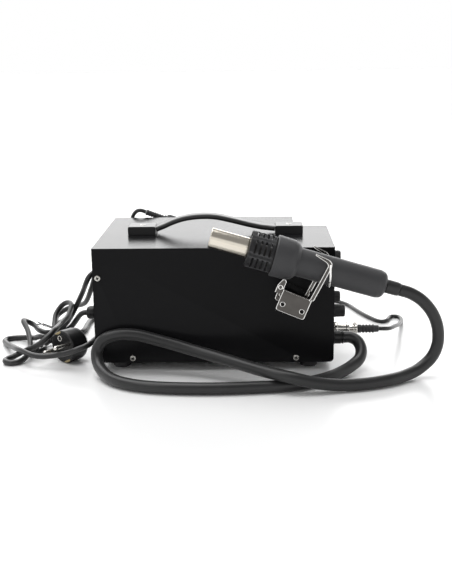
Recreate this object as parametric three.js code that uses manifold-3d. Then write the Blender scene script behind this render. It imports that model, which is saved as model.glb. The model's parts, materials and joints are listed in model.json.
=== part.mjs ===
// Two-in-one bench station: a steel case with a hot-air gun on its near side, a soldering
// iron on its far side, the air hose, the iron's cord and a mains lead.
// Millimetres, +Z up, the front panel faces +X. Parts are placed from the middle of the
// case on the bench, and the finished group is shifted to the middle of its footprint.

import * as THREE from 'three';
import { mergeVertices } from 'three/addons/utils/BufferGeometryUtils.js';
import Module from 'manifold-3d';

const wasm = await Module();
wasm.setup();

// ---------------------------------------------------------------- driving dimensions
const GAP = 0.3; // between pieces that touch
const CASE = { length: 245, width: 187, top: 129, bottom: 9, sheet: 1.2, corner: 4.5 };
const HALF = { x: CASE.length / 2, y: CASE.width / 2 };
const PANEL = { outside: 121.5, sheet: 1.2, low: 12, high: 127.4, flange: 14 };
const TRAY = { low: 10.2, sheet: 1.2, halfX: 119.7, halfY: 92, flange: 12 };
const FOOT = { x: 98, y: 74, radius: 8.75, height: 9.9 };
const SCREW = { head: 3.3, headHeight: 1.8, shank: 1.5, hole: 1.8, length: 6 };
const LOW_SCREW = { x: 84, z: 14 };
const HIGH_SCREW = { x: 117.2, z: 98.7 };
const KNOB = { radius: 6.8, tip: 136.2, shaft: 3, bore: 3.3, hole: 3.6 };
const KNOBS = [['air_flow', 0, 100], ['hot_air_heat', -60, 54.6], ['iron_heat', 0, 54.6]];
const WINDOW = { y: 52, z: 100, width: 50, height: 22 };
const SWITCH = { y: 60, z: 52, width: 13, height: 19, tilt: 8 };
const SOCKET = { y: -40, z: 29 };
const GLAND = { y: -72, z: 29, radius: 6.8, tip: 134 };
const INLET = { y: 0, z: 38, radius: 7.4, tip: -145.4 };
const BOARD_X = 97;
const HANDLE = { y: -7.5, width: 25, height: 8.7, inner: 64.2, outer: 93.9 };
const GUN = { x: 36, y: -117, z: 133.3, tilt: 16.1 };
const GUN_HANGER = { x: 70.2, z: 95.6, tilt: 22.6, size: 1, plate: 1.2 };
const IRON = { x: -87, y: 106, z: 133.5, tilt: 20 };
const IRON_HANGER = { x: -52, z: 95, tilt: 22.6, size: 0.72, plate: 1.2 };
const HOSE_RADIUS = 6;
const IRON_CORD_RADIUS = 2.25;
const MAINS_RADIUS = 3;
const PLUG = { x: -162, y: -65, z: 17.6, turn: -128.5, roll: 25, radius: 17.5, depth: 24 };

// ---------------------------------------------------------------- cord routes
const HOSE_ROUTE = [
  [134.4, -72, 29], [141, -72, 29], [148, -75.5, 26], [151.5, -83, 19.5], [149, -93, 12.5],
  [141, -103, 8.5], [128, -119, 6.2], [112, -137, 6.1], [92, -151, 6.1], [68, -160, 6.1],
  [40, -164, 6.1], [5, -167, 6.1], [-30, -166, 6.1], [-58, -162, 6.1], [-80, -154, 6.1],
  [-97, -142, 6.4], [-110, -125, 8.5], [-118, -110, 14.5], [-119.5, -102, 25],
  [-113, -100.5, 35.5], [-99, -100.6, 41], [-80, -101, 41], [-55, -103.5, 35.5],
  [-18, -112, 27], [14, -127, 22], [36, -142, 19.6], [57, -158, 18.6], [76, -166, 16.5],
  [97, -166, 11.5], [119, -162, 7.5], [144, -156, 6.1], [169, -146, 6.1], [190, -131, 6.3],
  [207, -118, 10], [219, -113.5, 20], [224, -113, 32], [224.4, -114, 45], [221.5, -115, 58],
  [215.5, -116, 69.5], [206, -116.8, 80], [195.5, -117, 86.7], [184.5, -117, 90.35],
];
const IRON_CORD_ROUTE = [
  [174.8, -40, 29], [179, -40, 28.9], [185, -36.5, 28], [190, -28, 26.5], [196.5, -10, 23.4],
  [204, 15, 18], [209, 40, 13], [214, 66, 6], [217.5, 88, 2.9], [218.5, 99, 2.4], [215, 107, 2.4],
  [208, 107, 2.4], [204, 99, 2.4], [200.5, 89.5, 2.4], [194.5, 84.5, 2.4], [188.5, 89, 2.4],
  [184, 98, 2.4], [176, 117, 2.4], [168, 142, 2.4], [160, 167, 2.4], [147, 184, 2.4],
  [125, 190, 2.4], [60, 188, 2.4], [0, 187, 2.4], [-70, 186, 2.4], [-98, 180, 2.4],
  [-108, 162, 2.4], [-100, 143, 2.4], [-75, 135, 2.4], [-30, 134, 2.4], [18, 133.5, 2.4],
  [28, 130.5, 2.4], [32, 122.5, 2.4], [28, 115, 2.4], [18, 112, 2.4], [-40, 112, 2.4],
  [-85, 112, 2.4], [-97, 111.5, 5], [-103, 110.5, 13], [-105, 110, 25], [-105, 110, 45],
  [-105, 110, 70], [-105, 109, 95], [-105, 107.5, 110], [-104.6, 106.5, 121], [-102.5, 106, 130],
  [-97.8, 106, 135], [-92.6, 106, 135.54], [-87.3, 106, 133.61],
];
const MAINS_ROUTE = [
  [-145.8, 0, 38], [-149.5, 0, 37.6], [-153.5, 1.5, 35], [-158.5, 5, 28.5], [-165, 9.5, 20],
  [-172, 11, 13.8], [-181, 5.5, 9.3], [-190, -2, 5], [-194, -13, 3.1], [-190.5, -23, 3.1],
  [-192.5, -31, 3.1], [-199, -35, 3.1], [-205.5, -31, 3.1], [-207.5, -16, 5], [-215.5, 9.5, 14.5],
  [-224, 27, 20.5], [-224.5, 34.5, 19.5], [-220.5, 40, 16], [-214, 39, 12.5], [-209, 31, 10.5],
  [-204, 23, 10.5], [-197.5, 18, 10], [-191, 20.5, 9.7], [-189.5, 28, 11], [-190.5, 38, 15],
  [-190.5, 50, 23], [-184.5, 57, 31.5], [-178, 55, 35.5], [-171.5, 46, 36], [-170.5, 19.5, 29.5],
  [-174.5, -8.5, 27], [-176, -36, 28], [-179.5, -47, 25], [-191, -53.5, 16.5], [-209, -52.5, 8],
  [-219, -56, 3.7], [-224, -62, 3.1], [-222.5, -70.5, 3.1], [-214.5, -74.5, 3.1],
  [-207.5, -69, 3.1], [-199.5, -40, 7], [-194, -25.5, 9.7], [-180, -7.5, 16], [-173, 19, 20.5],
  [-169.5, 41.5, 26], [-165, 48, 35], [-156.5, 41.5, 51.5], [-149.5, 27.5, 66],
  [-146, 25.5, 72.5], [-142, 28.5, 76.5], [-140, 35.5, 76.5], [-141.5, 42, 71], [-149.5, 55, 50],
  [-159.5, 72.5, 31], [-174, 94.5, 21.5], [-187, 111.5, 14], [-195, 112.5, 9.7], [-200, 106.5, 6],
  [-198, 80.5, 3.1], [-185.5, 55.5, 3.1], [-177, 43, 3.1], [-169, 37.5, 3.1], [-161.5, 41, 3.1],
  [-158.5, 51, 3.1], [-158.5, 71.5, 3.1], [-157.5, 97, 3.1], [-154.5, 107, 3.1], [-146, 112, 3.1],
  [-137, 107.5, 3.1], [-131.5, 93, 3.1], [-129.5, 67.5, 3.1], [-129, 39.5, 3.5],
  [-128.5, 11.5, 7], [-128, -15.5, 13.5], [-127.5, -42.5, 21], [-128, -69, 25.5],
  [-133, -84, 24.5], [-143, -88.5, 21.5], [-153.5, -86.5, 17.5], [-165, -83.5, 14.5],
  [-179.5, -82, 12.5], [-190.5, -78.5, 12.5], [-210, -58.5, 12.7], [-222.5, -34, 8.3],
  [-235, -9, 4.5], [-242, 9, 3.1], [-239.5, 17, 3.1], [-228, 20.5, 3.1], [-214, 14, 5],
  [-205, -3, 9.5], [-199, -17, 14.8], [-193.5, -24.6, 17.4], [-188.82, -28.33, 17.6],
];

// ---------------------------------------------------------------- finishes
const FINISHES = {
  paint: { color: 0x1a1a1c, roughness: 0.45, metalness: 0.2 },
  panel: { color: 0x202024, roughness: 0.55, metalness: 0.1 },
  steel: { color: 0xb8b8b4, roughness: 0.35, metalness: 1 },
  chrome: { color: 0xe4e2dc, roughness: 0.08, metalness: 1 },
  brass: { color: 0xb39a5c, roughness: 0.3, metalness: 1 },
  copper: { color: 0xa4602f, roughness: 0.4, metalness: 1 },
  plastic: { color: 0x3c3c3f, roughness: 0.5, metalness: 0 },
  black: { color: 0x141415, roughness: 0.45, metalness: 0 },
  rubber: { color: 0x2a2a2c, roughness: 0.6, metalness: 0 },
  board: { color: 0x1d5b33, roughness: 0.5, metalness: 0 },
  ceramic: { color: 0xe8e2d2, roughness: 0.6, metalness: 0 },
  window: { color: 0x2a0505, roughness: 0.1, metalness: 0 },
};

// ---------------------------------------------------------------- solids
function closed(geometry) {
  const bare = geometry.clone();
  bare.deleteAttribute('normal');
  bare.deleteAttribute('uv');
  const merged = mergeVertices(bare, 1e-4);
  const index = merged.index.array;
  const kept = [];
  for (let i = 0; i < index.length; i += 3) {
    const [a, b, c] = [index[i], index[i + 1], index[i + 2]];
    if (a !== b && b !== c && c !== a) kept.push(a, b, c);
  }
  merged.setIndex(volume(merged, kept) < 0 ? kept.reverse() : kept);
  return merged;
}

function volume(geometry, index) {
  const at = (i) => new THREE.Vector3().fromBufferAttribute(geometry.attributes.position, i);
  let sum = 0;
  for (let i = 0; i < index.length; i += 3) {
    sum += at(index[i]).dot(at(index[i + 1]).cross(at(index[i + 2])));
  }
  return sum / 6;
}

function solid(geometry) {
  const body = closed(geometry);
  return new wasm.Manifold(new wasm.Mesh({
    numProp: 3,
    vertProperties: new Float32Array(body.attributes.position.array),
    triVerts: new Uint32Array(body.index.array),
  }));
}

function shapeOf(manifold) {
  const result = manifold.getMesh();
  const geometry = new THREE.BufferGeometry();
  geometry.setAttribute('position', new THREE.BufferAttribute(result.vertProperties, 3));
  geometry.setIndex(new THREE.BufferAttribute(result.triVerts, 1));
  return geometry;
}

function joined(pieces) {
  return shapeOf(pieces.map(solid).reduce((sum, piece) => sum.add(piece)));
}

function cut(geometry, tools) {
  return shapeOf(tools.map(solid).reduce((rest, tool) => rest.subtract(tool), solid(geometry)));
}

function box(x0, x1, y0, y1, z0, z1) {
  const geometry = new THREE.BoxGeometry(x1 - x0, y1 - y0, z1 - z0);
  return geometry.translate((x0 + x1) / 2, (y0 + y1) / 2, (z0 + z1) / 2);
}

// A cylinder from `from` to `to` along one axis, centred on the other two coordinates.
function rod(axis, from, to, radius, a, b, sides = 12) {
  const geometry = new THREE.CylinderGeometry(radius, radius, to - from, sides);
  const middle = (from + to) / 2;
  if (axis === 'x') return geometry.rotateZ(-Math.PI / 2).translate(middle, a, b);
  if (axis === 'y') return geometry.translate(a, middle, b);
  return geometry.rotateX(Math.PI / 2).translate(a, b, middle);
}

// A turned piece: [station along +X, radius] pairs, starting and ending on the axis.
function turned(profile, sides = 20) {
  const points = profile.map(([along, radius]) => new THREE.Vector2(radius, along));
  return new THREE.LatheGeometry(points, sides).rotateZ(-Math.PI / 2);
}

// A flat outline in X and Z, given a thickness from y0 to y1.
function slab(outline, y0, y1) {
  const options = { depth: y1 - y0, bevelEnabled: false, curveSegments: 4 };
  const geometry = new THREE.ExtrudeGeometry(outline, options);
  return geometry.rotateX(Math.PI / 2).translate(0, y1, 0);
}

function polygon(points) {
  return new THREE.Shape(points.map(([x, y]) => new THREE.Vector2(x, y)));
}

function smooth(points) {
  return new THREE.CatmullRomCurve3(points.map((p) => new THREE.Vector3(...p)), false, 'centripetal');
}

function tube(points, radius, steps, sides = 8) {
  const section = new THREE.Shape();
  for (let i = 0; i < sides; i += 1) {
    const angle = (i / sides) * 2 * Math.PI;
    const [x, y] = [radius * Math.cos(angle), radius * Math.sin(angle)];
    if (i === 0) section.moveTo(x, y);
    else section.lineTo(x, y);
  }
  return new THREE.ExtrudeGeometry(section, { steps, bevelEnabled: false, extrudePath: smooth(points) });
}

// ---------------------------------------------------------------- scene graph helpers
const station = new THREE.Group();
const free = new Set(); // cords and the pieces that lie on them

function part(name, geometry, finish, parent = station) {
  const mesh = new THREE.Mesh(closed(geometry), new THREE.MeshStandardMaterial(FINISHES[finish]));
  mesh.name = name;
  parent.add(mesh);
  return mesh;
}

function freePart(name, geometry, finish, parent = station) {
  free.add(part(name, geometry, finish, parent));
}

function placed(x, y, z) {
  const group = new THREE.Group();
  group.position.set(x, y, z);
  station.add(group);
  return group;
}

const radians = THREE.MathUtils.degToRad;
const SIGNS = [-1, 1];

// ---------------------------------------------------------------- case
function coverSide() {
  const { x } = HALF;
  const { top, bottom, corner } = CASE;
  const outline = new THREE.Shape();
  outline.moveTo(-x, top);
  outline.lineTo(-x, bottom + corner);
  outline.absarc(-x + corner, bottom + corner, corner, Math.PI, 1.5 * Math.PI, false);
  outline.lineTo(x - corner, bottom);
  outline.absarc(x - corner, bottom + corner, corner, -0.5 * Math.PI, 0, false);
  outline.lineTo(x, top);
  return outline;
}

function screwPlaces() {
  return SIGNS.flatMap((side) => SIGNS.flatMap((end) => [
    [side, end * LOW_SCREW.x, LOW_SCREW.z],
    [side, end * HIGH_SCREW.x, HIGH_SCREW.z],
  ]));
}

function screwHoles() {
  return screwPlaces().map(([side, x, z]) => {
    const [from, to] = side < 0 ? [-HALF.y - 1, -HALF.y + 5] : [HALF.y - 5, HALF.y + 1];
    return rod('y', from, to, SCREW.hole, x, z, 10);
  });
}

function topCover() {
  const { y } = HALF;
  const shell = joined([
    slab(coverSide(), -y, -y + CASE.sheet),
    slab(coverSide(), y - CASE.sheet, y),
    box(-HALF.x, HALF.x, -y, y, CASE.top - CASE.sheet, CASE.top),
  ]);
  part('top_cover', cut(shell, screwHoles()), 'paint');
}

function coverScrews() {
  screwPlaces().forEach(([side, x, z], i) => {
    const face = side * (HALF.y + GAP);
    const head = [face, face + side * SCREW.headHeight].sort((a, b) => a - b);
    const shank = [face, face - side * SCREW.length].sort((a, b) => a - b);
    part(`cover_screw_${i + 1}`, joined([
      rod('y', ...head, SCREW.head, x, z, 14),
      rod('y', shank[0], shank[1] + 0.1, SCREW.shank, x, z, 10),
    ]), 'steel');
  });
}

function baseTray() {
  const { low, sheet, halfX, halfY, flange } = TRAY;
  const tray = joined([
    box(-halfX, halfX, -halfY, halfY, low, low + sheet),
    box(-100, 100, halfY - sheet, halfY, low, low + flange),
    box(-100, 100, -halfY, sheet - halfY, low, low + flange),
  ]);
  part('base_tray', cut(tray, screwHoles()), 'panel');
}

function feet() {
  const { x, y, radius, height } = FOOT;
  const foot = [[0, 0], [0, radius - 1.6], [0.5, radius - 0.5], [1.6, radius]];
  const profile = [...foot, [height, radius - 0.8], [height, 0]];
  SIGNS.forEach((sx, i) => SIGNS.forEach((sy, j) => {
    const geometry = turned(profile, 16).rotateY(-Math.PI / 2).translate(sx * x, sy * y, 0);
    part(`foot_${2 * i + j + 1}`, geometry, 'black');
  }));
}

function endPanel(side) {
  const { outside, sheet, low, high, flange } = PANEL;
  const span = (near, far) => [side * near, side * far].sort((a, b) => a - b);
  const inner = TRAY.halfY;
  return joined([
    box(...span(outside - sheet, outside), -inner, inner, low, high),
    ...SIGNS.map((s) => box(...span(outside - flange, outside), Math.min(s * inner, s * (inner - sheet)),
      Math.max(s * inner, s * (inner - sheet)), low + flange, high)),
  ]);
}

function frontPanel() {
  const through = [PANEL.outside - 3, PANEL.outside + 1];
  const openings = [
    ...KNOBS.map(([, y, z]) => rod('x', ...through, KNOB.hole, y, z)),
    ...SIGNS.map((s) => box(...through, s * WINDOW.y - WINDOW.width / 2, s * WINDOW.y + WINDOW.width / 2,
      WINDOW.z - WINDOW.height / 2, WINDOW.z + WINDOW.height / 2)),
    box(...through, SWITCH.y - SWITCH.width / 2, SWITCH.y + SWITCH.width / 2,
      SWITCH.z - SWITCH.height / 2, SWITCH.z + SWITCH.height / 2),
    rod('x', ...through, 5.4, SOCKET.y, SOCKET.z, 16),
    rod('x', ...through, 5.4, GLAND.y, GLAND.z, 16),
  ];
  part('front_panel', cut(endPanel(1), [...openings, ...screwHoles()]), 'panel');
}

function rearPanel() {
  const through = [-PANEL.outside - 1, -PANEL.outside + 3];
  const vents = [];
  for (let column = 0; column < 7; column += 1) {
    const y = -48 + column * 16;
    vents.push(box(...through, y - 1.8, y + 1.8, 66, 104));
  }
  const inlet = rod('x', ...through, 5.4, INLET.y, INLET.z, 16);
  part('rear_panel', cut(endPanel(-1), [...vents, inlet, ...screwHoles()]), 'panel');
}

// ---------------------------------------------------------------- carrying handle
function carryingHandle() {
  const { y, width, height, inner, outer } = HANDLE;
  const low = CASE.top + GAP;
  ['rear', 'front'].forEach((end, i) => {
    const [x0, x1] = i ? [inner, outer] : [-outer, -inner];
    const outline = new THREE.Shape();
    outline.moveTo(x0, low);
    outline.lineTo(x1, low);
    outline.lineTo(x1, low + height - 1);
    outline.lineTo(x1 - 1, low + height);
    outline.lineTo(x0 + 1, low + height);
    outline.lineTo(x0, low + height - 1);
    part(`handle_block_${end}`, slab(outline, y - width / 2, y + width / 2), 'black');
  });
  part('handle_strap', handleStrap(), 'rubber');
}

// The strap bows up off the case, higher towards the rear, and is 4.6 mm thick.
function handleStrap() {
  const middle = smooth([
    [-63.9, 0, 133.9], [-56, 0, 137], [-46, 0, 141.4], [-33, 0, 145.4], [-16, 0, 147.4],
    [0, 0, 146.8], [18, 0, 143], [37, 0, 138.2], [52, 0, 135.2], [63.9, 0, 133.9],
  ]);
  const half = 2.3;
  const upper = [];
  const lower = [];
  for (const point of middle.getPoints(22)) {
    upper.push([point.x, point.z + half]);
    lower.unshift([point.x, point.z - half]);
  }
  return slab(polygon([...lower, ...upper].reverse()), HANDLE.y - 8.5, HANDLE.y + 8.5);
}

// ---------------------------------------------------------------- front controls
function knobs() {
  for (const [name, y, z] of KNOBS) {
    const knob = turned([[0, 0], [0, 7.2], [1.6, 7.2], [2.2, 6.9], [12.6, 6.5], [13.4, 5.8], [13.4, 0]]);
    const reach = KNOB.tip - 13.4;
    const bore = rod('x', -1, 9.6, KNOB.bore, 0, 0, 12);
    const pointer = box(10.6, 14, -0.6, 0.6, 1.5, 8);
    part(`${name}_knob`, cut(knob, [bore, pointer]).translate(reach, y, z), 'black');
    part(`${name}_shaft`, rod('x', BOARD_X + 9.9, reach + 9.3, KNOB.shaft, y, z), 'steel');
  }
}

// One board carries the potentiometers and the two number displays.
function controlBoard() {
  const face = BOARD_X + 1.6;
  part('control_board', joined([
    box(BOARD_X, face, -84, 84, 40, 118),
    ...KNOBS.map(([, y, z]) => box(face - 0.1, face + 8, y - 8, y + 8, z - 8, z + 8)),
    box(face - 0.1, 116, WINDOW.y - 22, WINDOW.y + 22, WINDOW.z - 9, WINDOW.z + 9),
    box(face - 0.1, 116, -WINDOW.y - 22, 22 - WINDOW.y, WINDOW.z - 9, WINDOW.z + 9),
  ]), 'board');
}

function displayWindows() {
  const back = PANEL.outside - PANEL.sheet - GAP;
  ['hot_air_display', 'iron_display'].forEach((name, i) => {
    const y = SIGNS[i] * WINDOW.y;
    part(name, box(back - 2, back, y - WINDOW.width / 2 - 3, y + WINDOW.width / 2 + 3,
      WINDOW.z - WINDOW.height / 2 - 3, WINDOW.z + WINDOW.height / 2 + 3), 'window');
  });
}

function powerSwitch() {
  const { y, z, width, height } = SWITCH;
  const [w, h] = [width / 2 - GAP, height / 2 - GAP];
  const front = PANEL.outside + GAP;
  const housing = joined([
    box(PANEL.outside - 16, front + 0.1, y - w, y + w, z - h, z + h),
    box(front, front + 1.6, y - w - 1.5, y + w + 1.5, z - h - 1.5, z + h + 1.5),
  ]);
  const well = box(front - 7, front + 3, y - w + 1.2, y + w - 1.2, z - h + 1.2, z + h - 1.2);
  part('switch_housing', cut(housing, [well]), 'black');
  // Drawn round its pivot and tilted: its top stands out in the off position.
  const outline = polygon([[-1, -7.3], [4.6, -7.3], [2.9, 0], [4.6, 7.3], [-1, 7.3], [-2.6, 0]]);
  const rocker = slab(outline, y - w + 1.7, y + w - 1.7).rotateY(radians(SWITCH.tilt));
  part('switch_rocker', rocker.translate(front - 2.6, 0, z), 'black');
}

function ironSocketAndPlug() {
  const axis = [SOCKET.y, SOCKET.z];
  const front = PANEL.outside + GAP;
  const socket = cut(joined([
    rod('x', front, front + 2.4, 8, ...axis, 6),
    rod('x', PANEL.outside - 12, 133, 5.1, ...axis, 16),
  ]), [rod('x', 126, 134, 4.2, ...axis, 16)]);
  part('iron_socket', socket, 'steel');
  const nut = cut(
    turned([
      [0, 0], [0, 7], [1, 7.4], [3, 7.4], [3.4, 6.9],
      [12.4, 6.9], [12.8, 7.4], [15.4, 7.4], [16, 6.6], [16, 0],
    ]),
    [rod('x', -1, 8.6, 5.4, 0, 0, 16), rod('x', 8, 17, 4.7, 0, 0, 16)],
  );
  freePart('plug_nut', nut.translate(127, ...axis), 'steel');
  const outline = [[0, 0], [0, 3.9], [3.4, 3.9], [3.4, 5], [4.2, 5], [4.2, 4.4], [15, 4.4], [15, 0]];
  const shell = turned(outline, 16);
  freePart('plug_shell', joined([
    shell.translate(131.4, ...axis),
    rod('x', 146.3, 151.6, 4.9, ...axis, 16),
    box(147.2, 151.2, axis[0] - 2.2, axis[0] + 2.2, axis[1] - 5.6, axis[1] + 6.4),
  ]), 'steel');
  freePart('plug_boot', plugBoot().translate(152.2, ...axis), 'rubber');
}

function plugBoot() {
  const profile = [[0, 0], [0, 4.4]];
  for (let ring = 0; ring < 5; ring += 1) {
    const start = 2 + ring * 3.6;
    profile.push([start, 4.4], [start, 3.7], [start + 1.4, 3.7], [start + 1.4, 4.3]);
  }
  profile.push([22.2, 4.1], [22.2, 0]);
  return turned(profile, 12);
}

function hoseGland() {
  const axis = [GLAND.y, GLAND.z];
  const front = PANEL.outside + GAP;
  part('hose_gland', cut(joined([
    rod('x', PANEL.outside - 9, GLAND.tip, 5.1, ...axis, 16),
    rod('x', front, front + 3, 7.8, ...axis, 16),
    rod('x', front + 2.9, GLAND.tip, GLAND.radius, ...axis, 16),
  ]), [rod('x', PANEL.outside - 10, GLAND.tip + 1, 3.4, ...axis, 12)]), 'black');
}

// ---------------------------------------------------------------- inside the case
function insides() {
  const floor = TRAY.low + TRAY.sheet + GAP;
  part('transformer_core', cut(box(-104, -50, 22, 86, floor, floor + 52), [
    box(-105, -49, 32, 44, floor + 10, floor + 42),
    box(-105, -49, 64, 76, floor + 10, floor + 42),
  ]), 'steel');
  part('transformer_winding', cut(box(-112, -42, 32.4, 75.6, floor + 10.4, floor + 41.6), [
    box(-104.3, -49.7, 43.7, 64.3, floor + 9, floor + 43),
  ]), 'copper');
  part('main_board', joined([
    box(-40, 88, 8, 88, floor + 8, floor + 9.6),
    ...[[-32, 16], [-32, 80], [80, 16], [80, 80]].map(([x, y]) => rod('z', floor, floor + 8.1, 3, x, y, 8)),
    box(-20, 10, 66, 72, floor + 9.5, floor + 38),
    rod('z', floor + 9.5, floor + 34, 9, 30, 62, 12),
    rod('z', floor + 9.5, floor + 34, 9, 52, 62, 12),
    box(20, 50, 18, 34, floor + 9.5, floor + 26),
  ]), 'board');
  pump(floor);
}

// A diaphragm pump: a magnet coil swings the armature, which works the bellows.
function pump(floor) {
  part('pump_body', joined([
    box(-96, 52, -86, -8, floor, floor + 6),
    box(-90, -50, -80, -14, floor + 5.9, floor + 44),
    box(-12, 46, -84, -10, floor + 5.9, floor + 40),
    rod('x', -50.1, -46, 12, -47, floor + 26, 16),
    rod('x', 45.9, 56, 4.2, -72, 29, 12),
  ]), 'plastic');
  part('pump_armature', joined([
    box(-42, -18, -70, -24, floor + 16, floor + 36),
    rod('x', -18.1, -14, 5, -47, floor + 26, 12),
  ]), 'steel');
  const path = [[56.4, -72, 29], [70, -72, 29], [84, -72, 29], [98, -72, 29], [112, -72, 29]];
  part('air_tube', tube(path, 4.4, 6), 'ceramic');
}

function mainsInlet() {
  const axis = [INLET.y, INLET.z];
  const back = -PANEL.outside - GAP;
  part('mains_gland', joined([
    rod('x', INLET.tip, back, INLET.radius, ...axis, 16),
    rod('x', back - 0.1, -PANEL.outside + 10, 5.1, ...axis, 16),
  ]), 'black');
}

// ---------------------------------------------------------------- hot-air gun
function hotAirGun() {
  const gun = placed(GUN.x, GUN.y, GUN.z);
  gun.rotation.y = radians(GUN.tilt);
  part('gun_nozzle', turned([[-38.8, 8.7], [-38.8, 10], [8, 10], [8, 8.7], [-38.8, 8.7]], 24), 'steel', gun);
  part('gun_heater', turned([[-30, 0], [-30, 7.6], [30, 7.6], [30, 0]], 12), 'ceramic', gun);
  part('gun_collar', gunCollar(), 'plastic', gun);
  part('gun_handle', turned([
    [25.6, 20.1], [26.6, 20.8], [43, 20], [47, 18.7], [49.4, 16], [50.4, 14.3], [132, 14.1],
    [136.6, 12.9], [139, 10.4], [139.8, 7.4], [139.8, 6.2], [137, 6.2], [131, 11.4], [52, 11.6],
    [45, 17.6], [25.6, 17.6], [25.6, 20.1],
  ], 24), 'plastic', gun);
  part('hose_sleeve', cut(turned([[140.1, 0], [140.1, 6.7], [151, 6.9], [154, 6.5], [154, 0]], 16),
    [rod('x', 139, 155, 2.6, 0, 0, 10)]), 'black', gun);
}

// The ventilated collar has six rows of four slots, and a step down inside its mouth.
function gunCollar() {
  const shell = turned([
    [0, 16.2], [0, 17.6], [0.6, 18.1], [25.3, 18.3], [25.3, 10.4], [22, 10.4], [22, 15.6], [4, 15.6],
    [4, 16.2], [0, 16.2],
  ], 24);
  const slots = [];
  for (let row = 0; row < 6; row += 1) {
    for (let column = 0; column < 4; column += 1) {
      slots.push(slot(4.8 + column * 4.9, row * 60));
    }
  }
  return cut(shell, slots);
}

function slot(along, degrees) {
  const half = radians(21);
  const [near, far] = [14, 24].map((reach) => [reach * Math.cos(half), reach * Math.sin(half)]);
  const wedge = polygon([[near[0], -near[1]], [far[0], -far[1]], far, near]);
  const geometry = new THREE.ExtrudeGeometry(wedge, { depth: 2, bevelEnabled: false });
  return geometry.rotateY(Math.PI / 2).rotateX(radians(degrees + 37.5)).translate(along, 0, 0);
}

// ---------------------------------------------------------------- hangers for gun and iron
// In the hanger's own frame a bent sheet web joins two hanging plates, and two upright arms
// end in horns. `inner` is the plate against the case and `outer` the plate away from it.
function plateOutline(size) {
  const [w, d, r] = [29 * size, 21 * size, 2];
  const outline = new THREE.Shape();
  outline.moveTo(0, 0.5);
  outline.lineTo(0, -d + r);
  outline.absarc(r, -d + r, r, Math.PI, 1.5 * Math.PI, false);
  outline.lineTo(w - r, -d);
  outline.absarc(w - r, -d + r, r, -0.5 * Math.PI, 0, false);
  outline.lineTo(w, 0.5);
  return outline;
}

function armOutline(size) {
  return polygon([
    [27, -1], [29, -1], [30.8, 0.4], [34, 37.4], [33, 41], [29.4, 43.2], [15.6, 44], [15.2, 43],
    [27.6, 40.4], [30, 38.8], [30.8, 37], [27.6, 1], [27, 0],
  ].map(([x, z]) => [x * size, z * size]));
}

function hangerPlates({ size, plate }, y) {
  const [w, d] = [29 * size, 21 * size];
  const holes = [4.4, w - 4.4].map((x) => rod('y', y - 1, y + plate + 1, 2.1, x, -0.67 * d, 10));
  const flat = cut(slab(plateOutline(size), y, y + plate), holes);
  return joined([flat, slab(armOutline(size), y, y + plate)]);
}

function hanger(name, settings, outer, inner, extras) {
  const { x, z, tilt, size, plate } = settings;
  const group = placed(x, 0, z);
  group.rotation.y = radians(tilt);
  const low = Math.min(outer, inner);
  const high = Math.max(outer, inner) + plate;
  part(name, joined([
    hangerPlates(settings, outer),
    hangerPlates(settings, inner),
    box(0, 29 * size, low, high, -plate, 0.2),
    ...extras,
  ]), 'chrome', group);
}

function gunHanger() {
  const inner = -HALF.y - GAP - GUN_HANGER.plate;
  const outer = -134.6;
  const ear = polygon([
    [0.5, -5.3], [0.5, -0.4], [-0.8, 0.4], [-0.8, 8], [-2.4, 9.4], [-4.4, 9], [-7, 3], [-7, -5.3],
  ]);
  const cradle = tube([
    [32.2, outer + 0.6, 39.6], [34.4, outer + 0.5, 34], [36.8, -133.9, 28.5], [38.7, -131.1, 22.3],
    [40.3, -125.6, 17.2], [41, -117, 15.1], [40.3, -108.4, 17.2], [38.7, -102.4, 22.3],
    [36.8, -98.6, 28.5], [34.4, -95.6, 34], [32.2, inner, 39.6],
  ], 1.2, 20, 6);
  const rivet = rod('y', outer - 1, outer + 2, 2.5, -3.9, 1, 12);
  hanger('gun_hanger', GUN_HANGER, outer, inner, [slab(ear, outer, outer + 1.2), rivet, cradle]);
}

function ironHanger() {
  const inner = HALF.y + GAP;
  const outer = 116.4;
  const cradle = tube([
    [23.2, outer + 0.6, 28.5], [24.6, outer + 0.4, 25], [25.6, 114.7, 21], [26.2, 111.6, 17.6],
    [26.4, 106, 16.2], [26.2, 100.4, 17.6], [25.6, 97, 21], [24.6, 95.4, 25], [23.2, inner + 1.2, 28.5],
  ], 1.2, 16, 6);
  hanger('iron_hanger', IRON_HANGER, outer, inner, [cradle]);
}

// ---------------------------------------------------------------- soldering iron
function solderingIron() {
  const iron = placed(IRON.x, IRON.y, IRON.z);
  iron.rotation.y = radians(IRON.tilt);
  part('iron_boot', turned([[0, 0], [0, 2.9], [25, 4.3], [25, 0]], 12), 'rubber', iron);
  part('iron_grip', turned([
    [25.3, 0], [25.3, 5.4], [28, 6.6], [44, 7.3], [80, 7.4], [104, 6.6], [112, 6.8], [116, 8.8], [119, 8.8],
    [120.5, 7], [120.5, 0],
  ], 16), 'rubber', iron);
  part('iron_nut', turned([[120.8, 0], [120.8, 6], [128, 5.4], [128, 0]], 12), 'steel', iron);
  const barrel = turned([[128.3, 0], [128.3, 3.4], [170, 3.1], [171, 2.5], [171, 0]], 12);
  part('iron_barrel', barrel, 'steel', iron);
  part('iron_tip', turned([[171.3, 0], [171.3, 2.2], [178, 2.2], [193, 0.3], [193, 0]], 12), 'copper', iron);
}

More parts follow.
